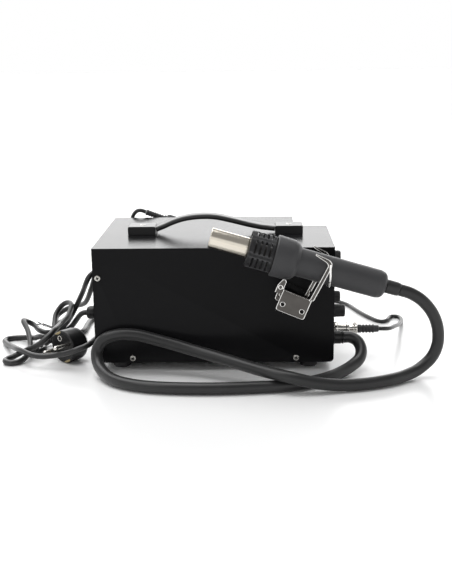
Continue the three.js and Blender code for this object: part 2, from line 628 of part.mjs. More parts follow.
// ---------------------------------------------------------------- mains plug
function mainsPlug() {
  const plug = placed(PLUG.x, PLUG.y, PLUG.z);
  plug.rotation.z = radians(PLUG.turn);
  const { radius, depth } = PLUG;
  const neck = new THREE.CylinderGeometry(5.6, 3.6, 28, 12).translate(-12, -radius - 12, 0);
  freePart('mains_plug', joined([
    turned([
      [-depth, 0], [-depth, radius - 3.5], [-depth + 3, radius - 0.6],
      [-depth + 8, radius], [0, radius], [0, 0],
    ], 20),
    neck,
  ]), 'black', plug);
  SIGNS.forEach((s, i) => {
    const roll = radians(PLUG.roll);
    const [y, z] = [s * 9.5 * Math.cos(roll), s * 9.5 * Math.sin(roll)];
    freePart(`plug_pin_${i + 1}`, turned([[0.3, 0], [0.3, 2.4], [17.6, 2.4], [19.3, 1.2], [19.3, 0]], 10)
      .translate(0, y, z), 'steel', plug);
  });
}

// ---------------------------------------------------------------- hose and cords
function cords() {
  freePart('air_hose', tube(HOSE_ROUTE, HOSE_RADIUS, 44), 'rubber');
  freePart('iron_cord', tube(IRON_CORD_ROUTE, IRON_CORD_RADIUS, 80), 'black');
  freePart('mains_cord', tube(MAINS_ROUTE, MAINS_RADIUS, 96), 'black');
}

// ---------------------------------------------------------------- assembly
topCover();
coverScrews();
baseTray();
feet();
frontPanel();
rearPanel();
carryingHandle();
knobs();
controlBoard();
displayWindows();
powerSwitch();
ironSocketAndPlug();
hoseGland();
insides();
mainsInlet();
hotAirGun();
gunHanger();
ironHanger();
solderingIron();
mainsPlug();
cords();

// The origin is the middle of the footprint, on the bench, of everything but the cords.
function footprint(group) {
  group.updateMatrixWorld(true);
  const bounds = new THREE.Box3();
  group.traverse((node) => {
    if (node.isMesh && !free.has(node)) bounds.expandByObject(node, true);
  });
  return bounds;
}

const bounds = footprint(station);
const middle = bounds.getCenter(new THREE.Vector3());
station.position.set(-middle.x, -middle.y, -bounds.min.z);
const group = new THREE.Group();
group.add(station);

export default group;
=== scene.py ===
"""Looks of the two-in-one bench station, on the frame that the CAD model gives."""
import json
import math

import bmesh
import bpy
from mathutils import Matrix, Vector


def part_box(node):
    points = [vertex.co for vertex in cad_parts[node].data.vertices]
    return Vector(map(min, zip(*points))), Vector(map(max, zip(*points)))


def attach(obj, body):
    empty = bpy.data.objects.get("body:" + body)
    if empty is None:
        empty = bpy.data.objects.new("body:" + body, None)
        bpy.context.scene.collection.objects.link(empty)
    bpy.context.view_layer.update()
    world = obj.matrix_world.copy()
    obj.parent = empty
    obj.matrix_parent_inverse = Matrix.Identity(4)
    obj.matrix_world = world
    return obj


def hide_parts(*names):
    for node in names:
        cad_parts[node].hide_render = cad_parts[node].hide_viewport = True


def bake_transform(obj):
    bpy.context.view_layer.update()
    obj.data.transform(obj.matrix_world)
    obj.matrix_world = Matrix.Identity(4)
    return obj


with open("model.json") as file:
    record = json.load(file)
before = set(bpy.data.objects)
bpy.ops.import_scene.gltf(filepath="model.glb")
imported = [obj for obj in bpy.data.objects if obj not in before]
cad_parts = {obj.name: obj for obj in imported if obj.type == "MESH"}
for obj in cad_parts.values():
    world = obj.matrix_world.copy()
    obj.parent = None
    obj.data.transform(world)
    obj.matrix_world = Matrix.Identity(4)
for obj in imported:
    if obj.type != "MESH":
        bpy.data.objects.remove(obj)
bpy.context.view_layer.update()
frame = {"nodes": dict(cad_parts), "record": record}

MM = 0.001
STATION, GUN, IRON = "station", "hot_air_gun", "soldering_iron"
BODIES = frame["record"]["behaviour"]["bodies"]
BODY_OF = {node: body for body, nodes in BODIES.items() for node in nodes}

# The case's middle on the bench, from which places are given in millimetres.
low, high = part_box("top_cover")
CASE_MIDDLE = Vector(((low.x + high.x) / 2, (low.y + high.y) / 2, 0))

# Sizes that the CAD model shares, in millimetres from the case's middle.
CASE = {"half_x": 122.5, "half_y": 93.5, "top": 129}
PANEL = 121.5
GAP = 0.3
GLAND = (-72, 29)
SOCKET = (-40, 29)
INLET = (0, 38)
FOOT = {"x": 98, "y": 74, "radius": 8.75, "height": 9.9}
SCREWS = [(84, 14), (117.2, 98.7)]
STRAP_Y = -7.5


def at(x, y, z):
    """A place in the row frame, in metres, from millimetres from the case's middle."""
    return CASE_MIDDLE + Vector((x, y, z)) * MM


def placed(x, y, z, turn=0, axis="Y"):
    """A local frame of the model: millimetres from the case's middle, turned in degrees."""
    return Matrix.Translation(at(x, y, z)) @ Matrix.Rotation(math.radians(turn), 4, axis)


CASE_FRAME = placed(0, 0, 0)
GUN_FRAME = placed(36, -117, 133.3, 16.1)
IRON_FRAME = placed(-87, 106, 133.5, 20)
PLUG_FRAME = placed(-162, -65, 17.6, -128.5, "Z")


def shifted(matrix, x, y, z, turn=0, axis="Y"):
    """A frame inside another one, moved in millimetres and then turned in degrees."""
    move = Matrix.Translation(Vector((x, y, z)) * MM)
    return matrix @ move @ Matrix.Rotation(math.radians(turn), 4, axis)


# ------------------------------------------------------------------ camera
def add_camera():
    data = bpy.data.cameras.new("camera")
    data.lens = 62.19
    camera = bpy.data.objects.new("camera", data)
    bpy.context.scene.collection.objects.link(camera)
    turn = Matrix.Rotation(math.radians(1.61), 4, "Z")
    tilt = Matrix.Rotation(math.radians(90 - 13.78), 4, "X")
    roll = Matrix.Rotation(math.radians(-0.74), 4, "Z")
    camera.matrix_world = Matrix.Translation(at(40.7, -1085.6, 326.9)) @ turn @ tilt @ roll
    bpy.context.scene.camera = camera


# ------------------------------------------------------------------ cord routes
HOSE_ROUTE = [
    (134.4, -72, 29), (141, -72, 29), (148, -75.5, 26), (151.5, -83, 19.5), (149, -93, 12.5),
    (141, -103, 8.5), (128, -119, 6.2), (112, -137, 6.1), (92, -151, 6.1), (68, -160, 6.1),
    (40, -164, 6.1), (5, -167, 6.1), (-30, -166, 6.1), (-58, -162, 6.1), (-80, -154, 6.1),
    (-97, -142, 6.4), (-110, -125, 8.5), (-118, -110, 14.5), (-119.5, -102, 25),
    (-113, -100.5, 35.5), (-99, -100.6, 41), (-80, -101, 41), (-55, -103.5, 35.5),
    (-18, -112, 27), (14, -127, 22), (36, -142, 19.6), (57, -158, 18.6), (76, -166, 16.5),
    (97, -166, 11.5), (119, -162, 7.5), (144, -156, 6.1), (169, -146, 6.1), (190, -131, 6.3),
    (207, -118, 10), (219, -113.5, 20), (224, -113, 32), (224.4, -114, 45), (221.5, -115, 58),
    (215.5, -116, 69.5), (206, -116.8, 80), (195.5, -117, 86.7), (184.5, -117, 90.35),
]
IRON_CORD_ROUTE = [
    (174.8, -40, 29), (179, -40, 28.9), (185, -36.5, 28), (190, -28, 26.5), (196.5, -10, 23.4),
    (204, 15, 18), (209, 40, 13), (214, 66, 6), (217.5, 88, 2.9), (218.5, 99, 2.4),
    (215, 107, 2.4), (208, 107, 2.4), (204, 99, 2.4), (200.5, 89.5, 2.4), (194.5, 84.5, 2.4),
    (188.5, 89, 2.4), (184, 98, 2.4), (176, 117, 2.4), (168, 142, 2.4), (160, 167, 2.4),
    (147, 184, 2.4), (125, 190, 2.4), (60, 188, 2.4), (0, 187, 2.4), (-70, 186, 2.4),
    (-98, 180, 2.4), (-108, 162, 2.4), (-100, 143, 2.4), (-75, 135, 2.4), (-30, 134, 2.4),
    (18, 133.5, 2.4), (28, 130.5, 2.4), (32, 122.5, 2.4), (28, 115, 2.4), (18, 112, 2.4),
    (-40, 112, 2.4), (-85, 112, 2.4), (-97, 111.5, 5), (-103, 110.5, 13), (-105, 110, 25),
    (-105, 110, 45), (-105, 110, 70), (-105, 109, 95), (-105, 107.5, 110), (-104.6, 106.5, 121),
    (-102.5, 106, 130), (-97.8, 106, 135), (-92.6, 106, 135.54), (-87.3, 106, 133.61),
]
MAINS_ROUTE = [
    (-145.8, 0, 38), (-149.5, 0, 37.6), (-153.5, 1.5, 35), (-158.5, 5, 28.5), (-165, 9.5, 20),
    (-172, 11, 13.8), (-181, 5.5, 9.3), (-190, -2, 5), (-194, -13, 3.1), (-190.5, -23, 3.1),
    (-192.5, -31, 3.1), (-199, -35, 3.1), (-205.5, -31, 3.1), (-207.5, -16, 5),
    (-215.5, 9.5, 14.5), (-224, 27, 20.5), (-224.5, 34.5, 19.5), (-220.5, 40, 16),
    (-214, 39, 12.5), (-209, 31, 10.5), (-204, 23, 10.5), (-197.5, 18, 10), (-191, 20.5, 9.7),
    (-189.5, 28, 11), (-190.5, 38, 15), (-190.5, 50, 23), (-184.5, 57, 31.5), (-178, 55, 35.5),
    (-171.5, 46, 36), (-170.5, 19.5, 29.5), (-174.5, -8.5, 27), (-176, -36, 28),
    (-179.5, -47, 25), (-191, -53.5, 16.5), (-209, -52.5, 8), (-219, -56, 3.7), (-224, -62, 3.1),
    (-222.5, -70.5, 3.1), (-214.5, -74.5, 3.1), (-207.5, -69, 3.1), (-199.5, -40, 7),
    (-194, -25.5, 9.7), (-180, -7.5, 16), (-173, 19, 20.5), (-169.5, 41.5, 26), (-165, 48, 35),
    (-156.5, 41.5, 51.5), (-149.5, 27.5, 66), (-146, 25.5, 72.5), (-142, 28.5, 76.5),
    (-140, 35.5, 76.5), (-141.5, 42, 71), (-149.5, 55, 50), (-159.5, 72.5, 31),
    (-174, 94.5, 21.5), (-187, 111.5, 14), (-195, 112.5, 9.7), (-200, 106.5, 6),
    (-198, 80.5, 3.1), (-185.5, 55.5, 3.1), (-177, 43, 3.1), (-169, 37.5, 3.1), (-161.5, 41, 3.1),
    (-158.5, 51, 3.1), (-158.5, 71.5, 3.1), (-157.5, 97, 3.1), (-154.5, 107, 3.1),
    (-146, 112, 3.1), (-137, 107.5, 3.1), (-131.5, 93, 3.1), (-129.5, 67.5, 3.1),
    (-129, 39.5, 3.5), (-128.5, 11.5, 7), (-128, -15.5, 13.5), (-127.5, -42.5, 21),
    (-128, -69, 25.5), (-133, -84, 24.5), (-143, -88.5, 21.5), (-153.5, -86.5, 17.5),
    (-165, -83.5, 14.5), (-179.5, -82, 12.5), (-190.5, -78.5, 12.5), (-210, -58.5, 12.7),
    (-222.5, -34, 8.3), (-235, -9, 4.5), (-242, 9, 3.1), (-239.5, 17, 3.1), (-228, 20.5, 3.1),
    (-214, 14, 5), (-205, -3, 9.5), (-199, -17, 14.8), (-193.5, -24.6, 17.4),
    (-188.82, -28.33, 17.6),
]


# ------------------------------------------------------------------ shapes
def finished(mesh, name, *materials, matrix=None, sharp=35):
    """The object of a bmesh, smooth over its round stretches and sharp at its edges."""
    bmesh.ops.recalc_face_normals(mesh, faces=mesh.faces)
    data = bpy.data.meshes.new(name)
    mesh.to_mesh(data)
    mesh.free()
    data.shade_smooth()
    data.set_sharp_from_angle(angle=math.radians(sharp))
    for material in materials:
        data.materials.append(material)
    piece = bpy.data.objects.new(name, data)
    bpy.context.scene.collection.objects.link(piece)
    if matrix is not None:
        piece.matrix_world = matrix
    return piece


def stand_for(piece, *nodes):
    """The piece stands for CAD nodes and rides with their body."""
    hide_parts(*nodes)
    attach(piece, BODY_OF[nodes[0]])
    return piece


def softened(points, radius, closed=False, steps=3):
    """An outline whose corners are eased over `radius`, as moulded and bent edges are."""
    points = [Vector(p) for p in points]
    result = [] if closed else [points[0]]
    span = range(len(points)) if closed else range(1, len(points) - 1)
    for i in span:
        before, corner, after = points[i - 1], points[i], points[(i + 1) % len(points)]
        reach = min(radius, (before - corner).length * 0.45, (after - corner).length * 0.45)
        start = corner + (before - corner).normalized() * reach
        end = corner + (after - corner).normalized() * reach
        for step in range(steps + 1):
            t = step / steps
            result.append((1 - t) ** 2 * start + 2 * t * (1 - t) * corner + t * t * end)
    return result if closed else [*result, points[-1]]


def lathe(name, profile, material, matrix, sides=64, ease=0.3, warp=None):
    """A piece turned about the local X axis from (station, radius) pairs, in millimetres.

    A profile that comes back to its first point makes a ring. `warp` changes a radius by
    station and angle, for flutes, ribs and recesses.
    """
    ring = Vector(profile[0]) == Vector(profile[-1])
    points = softened(profile[:-1] if ring else profile, ease, closed=ring)
    mesh = bmesh.new()
    angles = [2 * math.pi * i / sides for i in range(sides)]
    rows = []
    for along, radius in points:
        if radius < 1e-6:
            rows.append([mesh.verts.new((along * MM, 0, 0))])
            continue
        radii = [warp(along, radius, a) if warp else radius for a in angles]
        rows.append([
            mesh.verts.new((along * MM, r * math.cos(a) * MM, r * math.sin(a) * MM))
            for r, a in zip(radii, angles)
        ])
    bridge_rows(mesh, rows, ring)
    return finished(mesh, name, material, matrix=matrix)


def bridge_rows(mesh, rows, ring=False):
    """Faces between rows of vertices that run round a piece, one vertex at a pole."""
    pairs = list(zip(rows, rows[1:]))
    if ring:
        pairs.append((rows[-1], rows[0]))
    for one, two in pairs:
        sides = max(len(one), len(two))
        if sides == 1:
            continue
        for i in range(sides):
            j = (i + 1) % sides
            if len(one) == 1:
                mesh.faces.new((one[0], two[j], two[i]))
            elif len(two) == 1:
                mesh.faces.new((one[i], one[j], two[0]))
            else:
                mesh.faces.new((one[i], one[j], two[j], two[i]))


def tube_rows(mesh, points, radius_at, sides):
    """Rows of vertices round a line of points, carried along without twisting."""
    tangents = [(b - a).normalized() for a, b in zip(points, points[1:])]
    tangents.append(tangents[-1])
    side = tangents[0].orthogonal().normalized()
    rows = []
    for index, (point, tangent) in enumerate(zip(points, tangents)):
        if index:
            side = tangents[index - 1].rotation_difference(tangent) @ side
        other = tangent.cross(side)
        radius = radius_at(index / (len(points) - 1))
        rows.append([
            mesh.verts.new(point + radius * (math.cos(a) * side + math.sin(a) * other))
            for a in (2 * math.pi * i / sides for i in range(sides))
        ])
    return rows


def tube_mesh(name, points, radius, material, sides=20):
    """A capped round tube along points."""
    mesh = bmesh.new()
    rows = tube_rows(mesh, points, lambda t: radius, sides)
    bridge_rows(mesh, rows)
    mesh.faces.new(reversed(rows[0]))
    mesh.faces.new(rows[-1])
    return finished(mesh, name, material)


def smooth_line(places, per_span=6):
    """Points of a centripetal Catmull-Rom curve through a list of places."""
    places = [2 * places[0] - places[1], *places, 2 * places[-1] - places[-2]]
    points = []
    for p0, p1, p2, p3 in zip(places, places[1:], places[2:], places[3:]):
        t1 = math.sqrt((p1 - p0).length)
        t2 = t1 + math.sqrt((p2 - p1).length)
        t3 = t2 + math.sqrt((p3 - p2).length)
        for step in range(per_span):
            t = t1 + (t2 - t1) * step / per_span
            a1 = p0.lerp(p1, t / t1)
            a2 = p1.lerp(p2, (t - t1) / (t2 - t1))
            a3 = p2.lerp(p3, (t - t2) / (t3 - t2))
            b1 = a1.lerp(a2, t / t2)
            b2 = a2.lerp(a3, (t - t1) / (t3 - t1))
            points.append(b1.lerp(b2, (t - t1) / (t2 - t1)))
    points.append(places[-2])
    return points


def wire(name, places, radius, material, matrix=CASE_FRAME, sides=16, per_span=6):
    """A bent round wire through places given in a local frame, in millimetres."""
    line = smooth_line([matrix @ (Vector(p) * MM) for p in places], per_span)
    return tube_mesh(name, line, radius * MM, material, sides)


def block(name, corner, far, material, matrix=CASE_FRAME, ease=0.5):
    """A block between two corners, in millimetres, with its edges rounded over."""
    corner, far = Vector(corner) * MM, Vector(far) * MM
    mesh = bmesh.new()
    bmesh.ops.create_cube(mesh, size=1)
    size = far - corner
    for vert in mesh.verts:
        vert.co = (corner + far) / 2 + Vector(c * s for c, s in zip(vert.co, size))
    bmesh.ops.bevel(
        mesh, geom=mesh.edges[:], offset=ease * MM, segments=3, profile=0.5, affect="EDGES"
    )
    return finished(mesh, name, material, matrix=matrix)


def plate(name, outlines, y0, y1, material, matrix=CASE_FRAME, edge=0.15):
    """A sheet piece: closed outlines in X and Z, the first its edge and the rest its holes."""
    curve = bpy.data.curves.new(name, "CURVE")
    curve.dimensions = "2D"
    curve.fill_mode = "BOTH"
    curve.extrude = ((y1 - y0) / 2 - edge) * MM
    curve.bevel_depth = edge * MM
    curve.bevel_resolution = 2
    curve.offset = -edge * MM
    for outline in outlines:
        spline = curve.splines.new("POLY")
        spline.points.add(len(outline) - 1)
        for point, (x, z) in zip(spline.points, outline):
            point.co = (x * MM, z * MM, 0, 1)
        spline.use_cyclic_u = True
    drawn = bpy.data.objects.new(name, curve)
    bpy.context.scene.collection.objects.link(drawn)
    bpy.context.view_layer.update()
    solid = drawn.evaluated_get(bpy.context.evaluated_depsgraph_get())
    mesh = bmesh.new()
    mesh.from_mesh(solid.to_mesh())
    bpy.data.objects.remove(drawn)
    bmesh.ops.remove_doubles(mesh, verts=mesh.verts, dist=1e-7)
    stand = Matrix.Translation((0, (y0 + y1) / 2 * MM, 0)) @ Matrix.Rotation(math.pi / 2, 4, "X")
    mesh.transform(stand)
    return finished(mesh, name, material, matrix=matrix)


def circle(x, z, radius, count=24):
    turns = [2 * math.pi * i / count for i in range(count)]
    return [(x + radius * math.cos(a), z + radius * math.sin(a)) for a in turns]


def fused(name, pieces):
    """One object of several, in the row frame, each keeping its material."""
    mesh = bmesh.new()
    materials = []
    for piece in pieces:
        material = piece.data.materials[0]
        if material not in materials:
            materials.append(material)
        data = piece.data.copy()
        data.transform(piece.matrix_world)
        known = len(mesh.faces)
        mesh.from_mesh(data)
        mesh.faces.ensure_lookup_table()
        for face in mesh.faces[known:]:
            face.material_index = materials.index(material)
        bpy.data.meshes.remove(data)
        bpy.data.objects.remove(piece)
    return finished(mesh, name, *materials)


def fluted(count, depth, start, end):
    """A warp that cuts `count` shallow flutes between two stations."""
    def warp(along, radius, angle):
        if not start < along < end:
            return radius
        return radius - depth * (0.5 + 0.5 * math.cos(count * angle)) ** 2
    return warp


# ------------------------------------------------------------------ materials
def shader_of(material):
    return material.node_tree.nodes["Principled BSDF"]


def surface(name, colour, rough, metal=0.0, *, tone=0.15, patch=45, sheen=0.0, coat=0.0,
            specular=0.5, grain=1800, bump=0.08, smudge=0.05, stretch=(1, 1, 1)):
    """A procedural finish: colour drifts over patches, and a fine grain is in the gloss.

    `tone` is how far the colour drifts, `smudge` how far the roughness does, `grain` and
    `patch` the noise scales per metre, and `stretch` draws the grain out along an axis.
    """
    material = bpy.data.materials.new(name)
    material.use_nodes = True
    nodes, links = material.node_tree.nodes, material.node_tree.links
    shader = shader_of(material)
    shader.inputs["Metallic"].default_value = metal
    shader.inputs["Specular IOR Level"].default_value = specular
    shader.inputs["Coat Weight"].default_value = coat
    shader.inputs["Coat Roughness"].default_value = 0.12
    shader.inputs["Sheen Weight"].default_value = sheen
    place = nodes.new("ShaderNodeTexCoord")
    mapping = nodes.new("ShaderNodeMapping")
    mapping.inputs["Scale"].default_value = stretch
    links.new(place.outputs["Object"], mapping.inputs["Vector"])
    patches = noise(nodes, links, mapping, patch, 4)
    fine = noise(nodes, links, mapping, grain, 3)
    colours = nodes.new("ShaderNodeValToRGB")
    colours.color_ramp.elements[0].position = 0.3
    colours.color_ramp.elements[1].position = 0.7
    colours.color_ramp.elements[0].color = (*[c * (1 - tone) for c in colour], 1)
    colours.color_ramp.elements[1].color = (*[min(1, c * (1 + tone)) for c in colour], 1)
    links.new(patches.outputs["Fac"], colours.inputs["Fac"])
    links.new(colours.outputs["Color"], shader.inputs["Base Color"])
    gloss = nodes.new("ShaderNodeMapRange")
    gloss.inputs["To Min"].default_value = max(0.02, rough - smudge)
    gloss.inputs["To Max"].default_value = min(1, rough + smudge)
    both = nodes.new("ShaderNodeMath")
    both.operation = "MULTIPLY_ADD"
    both.inputs[1].default_value = 0.5
    links.new(patches.outputs["Fac"], both.inputs[0])
    halved = nodes.new("ShaderNodeMath")
    halved.operation = "MULTIPLY"
    halved.inputs[1].default_value = 0.5
    links.new(fine.outputs["Fac"], halved.inputs[0])
    links.new(halved.outputs["Value"], both.inputs[2])
    links.new(both.outputs["Value"], gloss.inputs["Value"])
    links.new(gloss.outputs["Result"], shader.inputs["Roughness"])
    relief = nodes.new("ShaderNodeBump")
    relief.inputs["Strength"].default_value = bump
    relief.inputs["Distance"].default_value = 0.0003
    links.new(fine.outputs["Fac"], relief.inputs["Height"])
    links.new(relief.outputs["Normal"], shader.inputs["Normal"])
    return material


def noise(nodes, links, mapping, scale, detail):
    node = nodes.new("ShaderNodeTexNoise")
    node.inputs["Scale"].default_value = scale
    node.inputs["Detail"].default_value = detail
    links.new(mapping.outputs["Vector"], node.inputs["Vector"])
    return node


def worn_edges(material, colour, strength=0.5):
    """Lightens the colour where edges stick out, as handling does."""
    nodes, links = material.node_tree.nodes, material.node_tree.links
    shader = shader_of(material)
    before = shader.inputs["Base Color"].links[0].from_socket
    shape = nodes.new("ShaderNodeNewGeometry")
    edges = nodes.new("ShaderNodeMapRange")
    edges.inputs["From Min"].default_value = 0.52
    edges.inputs["From Max"].default_value = 0.62
    edges.inputs["To Max"].default_value = strength
    links.new(shape.outputs["Pointiness"], edges.inputs["Value"])
    mix = nodes.new("ShaderNodeMix")
    mix.data_type = "RGBA"
    mix.inputs["B"].default_value = (*colour, 1)
    links.new(edges.outputs["Result"], mix.inputs["Factor"])
    links.new(before, mix.inputs["A"])
    links.new(mix.outputs["Result"], shader.inputs["Base Color"])
    return material


def banded(material, scale, depth, axis="X"):
    """Adds fine ridges along an axis, such as windings or stacked plates."""
    nodes, links = material.node_tree.nodes, material.node_tree.links
    shader = shader_of(material)
    place = nodes.new("ShaderNodeTexCoord")
    bands = nodes.new("ShaderNodeTexWave")
    bands.bands_direction = axis
    bands.inputs["Scale"].default_value = scale
    bands.inputs["Distortion"].default_value = 0.6
    links.new(place.outputs["Object"], bands.inputs["Vector"])
    relief = nodes.new("ShaderNodeBump")
    relief.inputs["Strength"].default_value = depth
    relief.inputs["Distance"].default_value = 0.0005
    links.new(bands.outputs["Fac"], relief.inputs["Height"])
    links.new(shader.inputs["Normal"].links[0].from_socket, relief.inputs["Normal"])
    links.new(relief.outputs["Normal"], shader.inputs["Normal"])
    return material


paint = surface("powder_coat", (0.0032, 0.0032, 0.0036), 0.22, specular=0.08, tone=0.1,
                patch=14, grain=1100, bump=0.09, smudge=0.04)
panel_paint = surface("panel_paint", (0.009, 0.009, 0.0095), 0.4, specular=0.2, grain=1400,
                      bump=0.12)
chrome = surface("chrome", (0.86, 0.85, 0.83), 0.07, 1.0, tone=0.04, patch=25, grain=500,
                 bump=0.015, smudge=0.03)
# Chrome given a dark base colour: painted reflection of the dark surroundings that the bracket's
# mirror faces show. Rims, eyelets, web and cradle keep plain chrome.
chrome_painted_dark_reflection = surface("chrome_painted_dark_reflection", (0.085, 0.08, 0.075), 0.1, 1.0, tone=0.2, patch=40,
                      grain=500, bump=0.02, smudge=0.04)
nickel = surface("nickel", (0.72, 0.7, 0.66), 0.2, 1.0, tone=0.08, grain=900, bump=0.04)
zinc = surface("zinc_screws", (0.5, 0.49, 0.46), 0.24, 1.0, tone=0.1, patch=300, grain=2500,
               bump=0.05)
nozzle_steel = surface("nozzle_steel", (0.74, 0.69, 0.6), 0.22, 1.0, tone=0.07, patch=60,
                       grain=1500, bump=0.05, stretch=(0.15, 1, 1))
brass = surface("brass", (0.42, 0.35, 0.2), 0.32, 1.0, tone=0.12, patch=150, bump=0.04)
copper = banded(surface("copper_wire", (0.62, 0.25, 0.09), 0.35, 1.0, patch=80), 400, 0.8, "Z")
iron_sheets = banded(surface("stacked_steel", (0.3, 0.3, 0.31), 0.4, 1.0), 500, 0.5, "Y")
tip_plating = surface("tip_plating", (0.55, 0.5, 0.45), 0.3, 1.0, tone=0.2, patch=250)
soft_plastic = surface("grip_plastic", (0.034, 0.034, 0.036), 0.46, specular=0.4, tone=0.06,
                       grain=2600, bump=0.1, sheen=0.1)
moulding = surface("black_moulding", (0.009, 0.009, 0.0095), 0.3, specular=0.35, tone=0.12,
                   patch=70, grain=2000, bump=0.07)
rubber = surface("hose_rubber", (0.012, 0.012, 0.0125), 0.36, specular=0.45, tone=0.14, patch=60,
                 grain=1500, bump=0.08, sheen=0.08)
vinyl = surface("cord_vinyl", (0.012, 0.012, 0.0123), 0.32, specular=0.5, tone=0.14, patch=70,
                grain=1700, bump=0.05, sheen=0.05)
grip_rubber = surface("grip_rubber", (0.03, 0.03, 0.032), 0.6, tone=0.1, grain=3000, bump=0.15)
strap_vinyl = surface("strap_vinyl", (0.011, 0.011, 0.0115), 0.33, tone=0.12, patch=50,
                      grain=1300, bump=0.1)
silicone = surface("silicone_tube", (0.7, 0.69, 0.64), 0.42, tone=0.06, patch=120, bump=0.06)
# The heater core's colour is set far darker than mica's own: painted shade inside the collar, so
# that the slots read black.
mica_painted_shade = surface("mica_wrap_painted_shade", (0.014, 0.012, 0.01), 0.5, tone=0.3, patch=150, bump=0.1)
circuit = surface("circuit_board", (0.02, 0.13, 0.045), 0.3, tone=0.35, patch=220, grain=900,
                  bump=0.1, coat=0.3)
pump_plastic = surface("pump_plastic", (0.05, 0.05, 0.055), 0.5, tone=0.1, bump=0.1)
display_glass = surface("display_glass", (0.035, 0.002, 0.002), 0.08, tone=0.1, bump=0.01,
                        coat=0.6)
paper = surface("label_paper", (0.8, 0.8, 0.79), 0.4, tone=0.03, patch=90, bump=0.03)
white_mark = surface("white_mark", (0.75, 0.75, 0.74), 0.5, tone=0.05, patch=300, bump=0.05)
# A near-black material that paints the shade at the bottom of screw recesses.
shadow_gap = surface("recess", (0.004, 0.004, 0.004), 0.6, tone=0.1, bump=0.05)
for finish, wear in ((paint, (0.03, 0.03, 0.032)), (moulding, (0.03, 0.03, 0.031))):
    worn_edges(finish, wear, 0.3)


# ------------------------------------------------------------------ cords
def cord_line(route):
    return smooth_line([at(*place) for place in route])


def cords():
    line = cord_line(HOSE_ROUTE)
    hose = tube_mesh("hose", line, 6 * MM, rubber, 40)
    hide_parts("air_hose")
    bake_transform(hose)
    line = cord_line(IRON_CORD_ROUTE)
    lead = tube_mesh("iron_lead", line, 2.25 * MM, vinyl, 20)
    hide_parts("iron_cord")
    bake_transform(lead)
    line = cord_line(MAINS_ROUTE)
    mains = tube_mesh("mains_lead", line, 3 * MM, vinyl, 24)
    stand_for(mains, "mains_cord")


# ------------------------------------------------------------------ case
def carried_over():
    """CAD nodes whose shape is right get eased edges and their own finish."""
    finishes = {
        paint: ["top_cover"],
        panel_paint: ["base_tray", "front_panel", "rear_panel"],
        circuit: ["control_board", "main_board"],
        display_glass: ["hot_air_display", "iron_display"],
        moulding: ["switch_housing", "switch_rocker", "handle_block_rear", "handle_block_front"],
        iron_sheets: ["transformer_core", "pump_armature"],
        copper: ["transformer_winding"],
        pump_plastic: ["pump_body"],
        silicone: ["air_tube"],
        nickel: [name for name in frame["nodes"] if name.endswith("_shaft")],
    }
    widths = {"top_cover": 0.5, "handle_block_rear": 0.7, "handle_block_front": 0.7,
              "switch_rocker": 0.4}
    for finish, names in finishes.items():
        for name in names:
            node = frame["nodes"][name]
            node.data.materials.clear()
            node.data.materials.append(finish)
            ease = node.modifiers.new("eased edges", "BEVEL")
            ease.width = widths.get(name, 0.25) * MM
            ease.segments = 3
            ease.limit_method = "ANGLE"
            ease.angle_limit = math.radians(50)
            ease.harden_normals = False
            node.data.set_sharp_from_angle(angle=math.radians(30))


def screw(name, place, radius, height, shank=0):
    """A pan-head screw with a deep cross recess whose dark floor is painted shade; its head stands
    along local X.
    """
    mouth = 0.56 * radius
    head = [(0, radius), (0.4 * height, radius), (0.85 * height, 0.86 * radius),
            (height, 0.66 * radius), (height, mouth), (0.25 * height, 0.8 * mouth)]
    stem = [(-shank, 0), (-shank, 0.45 * radius), (0, 0.45 * radius)] if shank else [(0, 0)]

    def cross(along, r, angle):
        if r > 1.01 * mouth or along < 0.2 * height:
            return r
        return r * (0.5 + 0.5 * abs(math.cos(2 * angle)) ** 2)

    body = lathe("head", [*stem, *head, (0.2 * height, 0)], zinc, place, 64, 0.2, cross)
    # A dark cone inside the recess: painted shade.
    pit = lathe("pit", [(0.05 * height, 0), (0.05 * height, 0.95 * mouth),
                        (0.55 * height, 0.95 * mouth), (0.5 * height, 0)], shadow_gap, place, 24,
                0.1)
    return fused(name, [body, pit])


def cover_screws():
    index = 0
    for side in (-1, 1):
        for end in (-1, 1):
            for x, z in SCREWS:
                index += 1
                place = placed(end * x, side * (CASE["half_y"] + GAP), z, side * 90, "Z")
                place = place @ Matrix.Rotation(math.radians(20 + 47 * index), 4, "X")
                stand_for(screw(f"screw_{index}", place, 3.3, 1.8, 6), f"cover_screw_{index}")


def feet():
    radius, height = FOOT["radius"], FOOT["height"]
    profile = [(0, 0), (0.6, 2.6), (0.6, 3.4), (0, 3.8), (0, radius - 1.2), (1.4, radius),
               (height - 3, radius - 0.3), (height - 2.6, radius - 0.6), (height, radius - 0.8),
               (height, 0)]
    index = 0
    for end in (-1, 1):
        for side in (-1, 1):
            index += 1
            place = placed(end * FOOT["x"], side * FOOT["y"], 0, -90)
            foot = lathe(f"rubber_foot_{index}", profile, grip_rubber, place, 64, 0.5)
            stand_for(foot, f"foot_{index}")


STRAP_LINE = [(-63.9, 133.9), (-56, 137), (-46, 141.4), (-33, 145.4), (-16, 147.4), (0, 146.8),
              (18, 143), (37, 138.2), (52, 135.2), (63.9, 133.9)]


